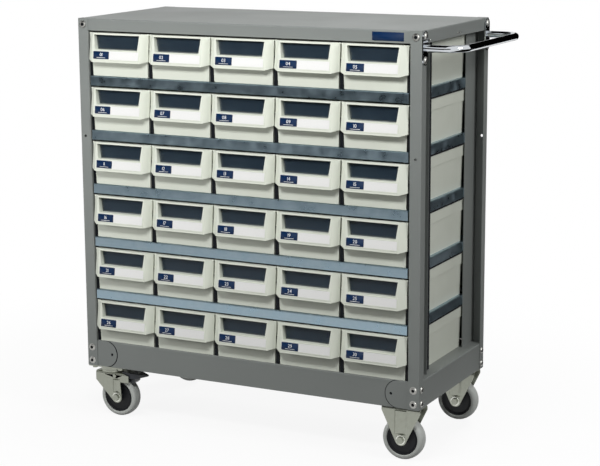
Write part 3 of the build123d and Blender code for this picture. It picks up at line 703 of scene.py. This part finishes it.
def fit_pedal_rivets():
    """A flat bright rivet head near the nose of each brake pedal."""
    head = [
        (0.0, 0.0),
        (RIVET_RADIUS, 0.0),
        (RIVET_RADIUS - 0.4 * RIVET_HEIGHT, 0.7 * RIVET_HEIGHT),
        (0.4 * RIVET_RADIUS, RIVET_HEIGHT),
        (0.0, RIVET_HEIGHT),
    ]
    mesh = lathe("rivet", head, RIVET_STEPS)
    upright = Matrix.Rotation(BLADE_LEAN, 4, "Y") @ Matrix.Rotation(math.pi / 2, 4, "X")
    for place in ("front", "rear"):
        low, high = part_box(f"brake_pedal_{place}")
        middle_y = (low.y + high.y) / 2
        spot = Vector((high.x - RIVET_FROM_TIP, middle_y, high.z - RIVET_FALL))
        where = Matrix.Translation(spot) @ upright
        new_piece(f"pedal_rivet_{place}", mesh, bolt_zinc, f"pedal_{place}", where)


# Button-head screws
SOCKET_ACROSS = 7.5 * MM
SOCKET_DEPTH = 2.6 * MM
HEAD_FLAT = 0.62 * SOCKET_ACROSS  # radius at which the dome ends
SCREW_FLANGE = 1.3 * MM  # round the head
FLANGE_THICKNESS = 0.5 * MM
SCREW_STEPS = 36
DOME_STEPS = 5
DOME_FULLNESS = 1.6
FACING = 0.9  # of a normal's length towards -Y, above which it is of the head's flat face


def screw_mesh(diameter, height):
    """A domed head whose hexagon socket is coloured black as painted shade, seated on y = 0 and
    facing -Y.
    """
    radius = diameter / 2
    rings = [(radius + SCREW_FLANGE, 0.0), (radius + SCREW_FLANGE, -FLANGE_THICKNESS)]
    for step in range(DOME_STEPS + 1):
        share = math.sin(math.pi / 2 * step / DOME_STEPS)
        rise = FLANGE_THICKNESS + (height - FLANGE_THICKNESS) * share
        rings.append((radius - (radius - HEAD_FLAT) * share**DOME_FULLNESS, -rise))
    angles = [2 * math.pi * step / SCREW_STEPS for step in range(SCREW_STEPS)]
    points = [(r * math.cos(a), y, r * math.sin(a)) for r, y in rings for a in angles]
    for y in (-height, SOCKET_DEPTH - height):
        for a in angles:
            reach = SOCKET_ACROSS / 2 / math.cos(math.radians(30) - a % math.radians(60))
            points.append((reach * math.cos(a), y, reach * math.sin(a)))
    count = len(rings) + 2
    faces = []
    for ring in range(count - 1):
        for step in range(SCREW_STEPS):
            after = (step + 1) % SCREW_STEPS
            here, there = ring * SCREW_STEPS, (ring + 1) * SCREW_STEPS
            faces.append((here + step, here + after, there + after, there + step))
    faces.append(tuple(range(SCREW_STEPS)))
    faces.append(tuple(range((count - 1) * SCREW_STEPS, count * SCREW_STEPS)))
    mesh = as_mesh("screw", points, faces)
    mesh.set_sharp_from_angle(angle=HARD_FROM)
    mesh.materials.append(nickel)
    mesh.materials.append(painted_shade)
    # The socket's walls and floor take the black of painted shade
    for polygon in mesh.polygons:
        inside = polygon.center.xz.length < SOCKET_ACROSS / 2
        if inside and polygon.center.y < -FLANGE_THICKNESS and polygon.normal.y > -FACING:
            polygon.material_index = 1
    caps = [polygon for polygon in mesh.polygons if len(polygon.vertices) == SCREW_STEPS]
    min(caps, key=lambda polygon: polygon.center.y).material_index = 1
    return mesh


def fit_screws():
    """A domed screw at the place of each plain head."""
    middle = (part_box("top_cover")[0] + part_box("top_cover")[1]) / 2
    mesh = None
    for number, (_, points) in enumerate(solids_of("screws")):
        low, high = corners(points)
        size = high - low
        axis = min(range(3), key=lambda i: size[i])
        if mesh is None:
            mesh = screw_mesh(max(size), min(size))
        centre = (low + high) / 2
        outward = Vector((0, 0, 0))
        outward[axis] = 1 if centre[axis] > middle[axis] else -1
        turn = Vector((0, -1, 0)).rotation_difference(outward).to_matrix().to_4x4()
        where = Matrix.Translation(centre - outward * size[axis] / 2) @ turn
        obj = new_piece(f"screw_{number + 1:02d}", mesh, nickel, "cabinet", where)
        if number == 0:
            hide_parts("screws")


# Tyres and hubs, within the outlines of the CAD's plain ones
WHEEL_STEPS = 96
TREAD_CROWN = 0.8 * MM
SHOULDER_ROUND = 7.5 * MM
SHOULDER_STEPS = 8
RIM_STEP = 1.0 * MM
HUB_BORE = 5.05 * MM
BOSS_RADIUS = 12 * MM
BOSS_CHAMFER = 1.5 * MM
BOSS_DRAFT = 0.8 * MM
DISH_DEPTH = 4.0 * MM
DISH_FROM_BOSS = 6 * MM
DISH_STEP = 0.6 * MM
HUB_LIP = 2.4 * MM
HUB_LIP_GAP = 0.4 * MM  # to the tyre


def tyre_profile(inner, outer, half):
    """A section with a slightly crowned tread, round shoulders and a small step at the rim."""
    side = [
        (inner, half - RIM_STEP),
        (inner + RIM_STEP, half - RIM_STEP),
        (inner + 1.6 * RIM_STEP, half),
    ]
    shoulder_r = outer - TREAD_CROWN - SHOULDER_ROUND
    shoulder_y = half - SHOULDER_ROUND
    for step in range(SHOULDER_STEPS + 1):
        angle = math.pi / 2 * step / SHOULDER_STEPS
        out, up = SHOULDER_ROUND * math.sin(angle), SHOULDER_ROUND * math.cos(angle)
        side.append((shoulder_r + out, shoulder_y + up))
    side.append((outer - TREAD_CROWN / 4, shoulder_y / 2))
    return side + [(outer, 0.0)] + [(r, -y) for r, y in reversed(side)]


def hub_profile(rim, disc_half, boss_half):
    """A hub with a raised rim, a dished disc and a stepped boss."""
    side = [
        (HUB_BORE, boss_half),
        (BOSS_RADIUS - BOSS_CHAMFER, boss_half),
        (BOSS_RADIUS, boss_half - BOSS_CHAMFER),
        (BOSS_RADIUS + BOSS_DRAFT, disc_half - DISH_DEPTH + DISH_STEP),
        (BOSS_RADIUS + DISH_FROM_BOSS, disc_half - DISH_DEPTH),
        (rim - 2.6 * HUB_LIP, disc_half - DISH_DEPTH),
        (rim - HUB_LIP, disc_half - DISH_STEP),
        (rim - 0.8 * HUB_LIP, disc_half),
        (rim - HUB_LIP_GAP, disc_half),
    ]
    return side + [(r, -y) for r, y in reversed(side)]


def fit_wheels():
    """Round-shouldered tyres and dished hubs at the place of the plain ones."""
    low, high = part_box("tyre_front_left")
    outer = (high.z - low.z) / 2
    half = (high.y - low.y) / 2
    hub_low, hub_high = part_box("hub_front_left")
    rim = (hub_high.z - hub_low.z) / 2
    boss_half = (hub_high.y - hub_low.y) / 2
    tyre_mesh = lathe("tyre", tyre_profile(rim, outer, half), WHEEL_STEPS)
    hub_mesh = lathe("hub", hub_profile(rim, half - RIM_STEP, boss_half), WHEEL_STEPS)
    for mesh in (tyre_mesh, hub_mesh):
        mesh.set_sharp_from_angle(angle=HARD_FROM)
    for place in WHEELS:
        corner_low, corner_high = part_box(f"tyre_{place}")
        centre = Matrix.Translation((corner_low + corner_high) / 2)
        body = f"wheel_{place}"
        tyre = new_piece(f"round_tyre_{place}", tyre_mesh, rubber, body, centre)
        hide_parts(f"tyre_{place}")
        hub = new_piece(f"dished_hub_{place}", hub_mesh, nylon, body, centre)
        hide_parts(f"hub_{place}")


# Bare blue plate on the cover's front flange
NAMEPLATE_LEFT = 322 * MM  # from the middle of the front
NAMEPLATE_RIGHT = 397 * MM
NAMEPLATE_HEIGHT = 19 * MM
NAMEPLATE_CORNER = 0.8 * MM
NAMEPLATE_THICKNESS = 0.6 * MM
NAMEPLATE_DROP = 5 * MM  # below the top


def fit_nameplate():
    """A thin plate near the right end of the cover's front flange."""
    low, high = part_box("top_cover")
    width = NAMEPLATE_RIGHT - NAMEPLATE_LEFT
    outline = rounded_outline(width, NAMEPLATE_HEIGHT, NAMEPLATE_CORNER)
    mesh = plate("nameplate", outline, NAMEPLATE_THICKNESS)
    x = (low.x + high.x) / 2 + (NAMEPLATE_LEFT + NAMEPLATE_RIGHT) / 2
    z = high.z - NAMEPLATE_DROP - NAMEPLATE_HEIGHT / 2
    where = Matrix.Translation((x, low.y, z))
    new_piece("nameplate", mesh, blue, "cabinet", where)


# Studio, in metres
FLOOR_SIZE = 40.0
FLOOR_GLOW = 0.9  # near the cabinet; 1, all white, is reached at SHADOW_TO
SHADOW_FROM = 0.5
SHADOW_TO = 1.6
AMBIENT = 0.08
CLOTH_HEIGHT = 0.02


def background_share(tree):
    """One for rays that look at the background, straight or through gloss or glass."""
    path = add(tree, "LightPath", {})
    share = path.outputs["Is Camera Ray"]
    for ray in ("Is Glossy Ray", "Is Transmission Ray"):
        either = {"operation": "MAXIMUM", 0: share, 1: path.outputs[ray]}
        share = add(tree, "Math", either).outputs[0]
    return share


def lying(low_x, low_y, high_x, high_y, z):
    """Outline of a level sheet."""
    return [(low_x, low_y, z), (high_x, low_y, z), (high_x, high_y, z), (low_x, high_y, z)]


def standing(low_x, high_x, y, top):
    """Outline of a sheet that stands on the floor across Y."""
    return [(low_x, y, 0.0), (high_x, y, 0.0), (high_x, y, top), (low_x, y, top)]


def stage_sheet(name, material, outline):
    """A flat sheet of the studio, which is no part of the cabinet."""
    mesh = bpy.data.meshes.new(name)
    mesh.from_pydata(outline, [], [(0, 1, 2, 3)])
    mesh.materials.append(material)
    obj = bpy.data.objects.new(name, mesh)
    bpy.context.scene.collection.objects.link(obj)
    return obj


def studio_floor():
    """A grey floor that looks white, keeps a soft shadow and throws little light back up."""
    made, tree, place = new_material("studio_floor")
    _, colour = mottled(tree, place, 900, 2.0, ("#727272", "#767676"))
    seen = background_share(tree)
    faces = {"Fac": seen, "Color1": colour, "Color2": linear("#F2F2F2")}
    looked_at = add(tree, "MixRGB", faces).outputs[0]
    matt = add(tree, "BsdfDiffuse", {"Color": looked_at}).outputs[0]
    glow = add(tree, "Emission", {"Color": linear("#FFFFFF"), "Strength": 1.0}).outputs[0]
    away = add(tree, "VectorMath", {"operation": "LENGTH", 0: place}).outputs["Value"]
    fade = {
        "interpolation_type": "SMOOTHSTEP",
        "Value": away,
        "From Min": SHADOW_FROM,
        "From Max": SHADOW_TO,
        "To Min": FLOOR_GLOW,
        "To Max": 1.0,
    }
    strength = add(tree, "MapRange", fade).outputs[0]
    share = add(tree, "Math", {"operation": "MULTIPLY", 0: seen, 1: strength}).outputs[0]
    mix = add(tree, "MixShader", {0: share, 1: matt, 2: glow})
    add(tree, "OutputMaterial", {"Surface": mix.outputs[0]})
    half = FLOOR_SIZE / 2
    stage_sheet("floor", made, lying(-half, -half, half, half, 0))


def black_flags():
    """Black cloths and cards that only reflections see: chrome and zinc need them."""
    made, tree, place = new_material("black_cloth")
    _, colour = mottled(tree, place, 50, 2.0, ("#0A0A0A", "#101010"))
    cloth = add(tree, "BsdfDiffuse", {"Color": colour})
    add(tree, "OutputMaterial", {"Surface": cloth.outputs[0]})
    flags = {
        "front_card": standing(-6.0, 2.5, -4.2, 2.1),
        "front_cloth": lying(-3.6, -4.2, 0.3, -2.6, CLOTH_HEIGHT),
        "side_cloth": lying(0.5, -0.3, 0.9, 1.5, CLOTH_HEIGHT),
        "right_cloth": lying(0.9, -0.5, 4.0, 2.9, CLOTH_HEIGHT),
        "back_card": standing(-0.6, 3.2, 3.0, 3.0),
        "top_card": lying(-4.0, -2.5, 0.5, 3.0, 3.4),
    }
    for name, outline in flags.items():
        obj = stage_sheet(name, made, outline)
        obj.visible_camera = False
        obj.visible_diffuse = False
        obj.visible_shadow = False
        obj.visible_transmission = False


def studio_world():
    """White to look at, a plain grey for the light it gives."""
    world = bpy.data.worlds.new("studio")
    bpy.context.scene.world = world
    world.use_nodes = True
    tree = world.node_tree
    tree.nodes.clear()
    white = add(tree, "Background", {"Color": linear("#FFFFFF"), "Strength": 1.0}).outputs[0]
    grey = add(tree, "Background", {"Color": linear("#FFFFFF"), "Strength": AMBIENT}).outputs[0]
    mix = add(tree, "MixShader", {0: background_share(tree), 1: grey, 2: white})
    add(tree, "OutputWorld", {"Surface": mix.outputs[0]})


def softbox(name, place, aim, size, power, mirrored):
    """A rectangular area lamp of that width and height. Shiny pieces show it if it is mirrored."""
    lamp = bpy.data.lights.new(name, "AREA")
    lamp.shape = "RECTANGLE"
    lamp.size, lamp.size_y = size
    lamp.energy = power
    obj = bpy.data.objects.new(name, lamp)
    bpy.context.scene.collection.objects.link(obj)
    obj.location = place
    obj.rotation_euler = (Vector(aim) - Vector(place)).to_track_quat("-Z", "Y").to_euler()
    obj.visible_camera = False
    obj.visible_glossy = mirrored


def lights():
    """A close softbox high in front, whose light fades down the drawers, and four round it.

    Each has its place, the point it is aimed at, its width and height, and its power in watts.
    """
    softbox("front_softbox", (0.12, -1.3, 1.6), (0.08, 0.0, 0.9), (0.9, 0.3), 18.5, False)
    softbox("top_softbox", (0.1, 0.1, 2.6), (0.0, 0.0, 0.97), (1.2, 1.2), 7.6, False)
    softbox("right_softbox", (2.4, -0.55, 1.9), (0.4, 0.0, 0.7), (0.8, 0.8), 29, True)
    softbox("rear_softbox", (0.4, 2.2, 1.5), (0.0, 0.2, 0.5), (1.2, 0.8), 34, False)
    softbox("left_softbox", (-0.95, -0.95, 0.7), (-0.43, -0.19, 0.6), (0.35, 0.5), 4.5, False)


def camera():
    """The photograph's camera; it looks at a point on the cabinet's front."""
    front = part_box("post_front_left")[0].y
    aim = Vector((cabinet_middle_x() + AIM_RIGHT, front, AIM_HEIGHT))
    level = math.cos(PITCH)
    back = Vector((math.sin(YAW) * level, -math.cos(YAW) * level, math.sin(PITCH)))
    right = Vector((math.cos(YAW), math.sin(YAW), 0))
    up = back.cross(right)
    turn = Matrix((right, up, back)).transposed().to_4x4() @ Matrix.Rotation(-ROLL, 4, "Z")
    data = bpy.data.cameras.new("camera")
    data.sensor_width = SENSOR
    data.lens = FOCAL_PX / PHOTO_WIDTH * SENSOR
    data.clip_end = VIEW_END
    obj = bpy.data.objects.new("camera", data)
    bpy.context.scene.collection.objects.link(obj)
    obj.matrix_world = Matrix.Translation(aim + back * DISTANCE) @ turn
    bpy.context.scene.camera = obj


dress_frame()
dress_drawers()
fit_screws()
fit_wheels()
fit_washers()
fit_gusset_painted_shadows()
fit_pedal_rivets()
fit_side_painted_shade()
fit_gap_painted_shade()
fit_cover_fixings()
fit_nameplate()
studio_floor()
black_flags()
studio_world()
lights()
camera()
bpy.context.scene.view_settings.view_transform = "Standard"
